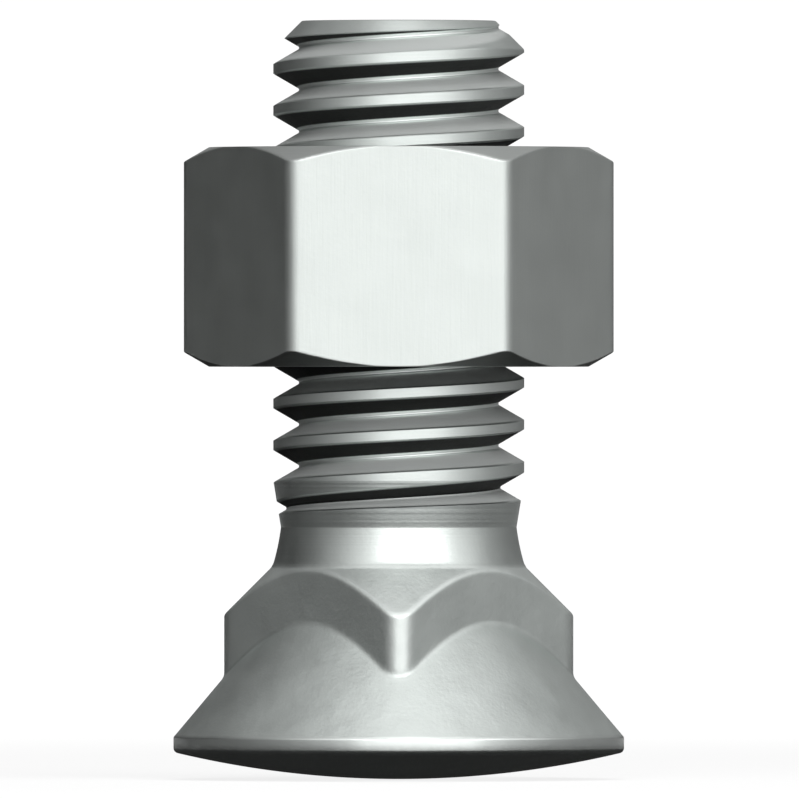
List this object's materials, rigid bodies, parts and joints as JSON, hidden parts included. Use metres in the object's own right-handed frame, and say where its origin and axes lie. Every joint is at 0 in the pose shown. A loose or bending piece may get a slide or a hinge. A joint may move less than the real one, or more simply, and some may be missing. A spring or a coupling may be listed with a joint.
{
  "type": "plough bolt",
  "caption": "Plough bolt with a domed countersunk head, a square neck that keeps it from turning, a coarse right-hand thread and a hex nut that travels along it.",
  "frame": {"origin": "lowest point of the domed head, on the bolt's axis", "axes": "+Z runs along the bolt's axis from the head to the threaded end; a corner of the square neck and a corner of the nut lie on +X"},
  "size_m": [0.0172, 0.0172, 0.0288],
  "materials": {
    "bolt_steel": "bright zinc-plated forged steel, satin",
    "nut_steel": "bright zinc-plated cold-formed steel, satin"
  },
  "bodies": {
    "bolt": {"plough_bolt": "bolt_steel"},
    "nut": {"hex_nut": "nut_steel"}
  },
  "joints": [
    {"name": "nut_travel", "type": "slide", "parent": "bolt", "child": "nut", "axis": [0, 0, 1], "range_m": [-0.00476, 0.0127]}
  ]
}
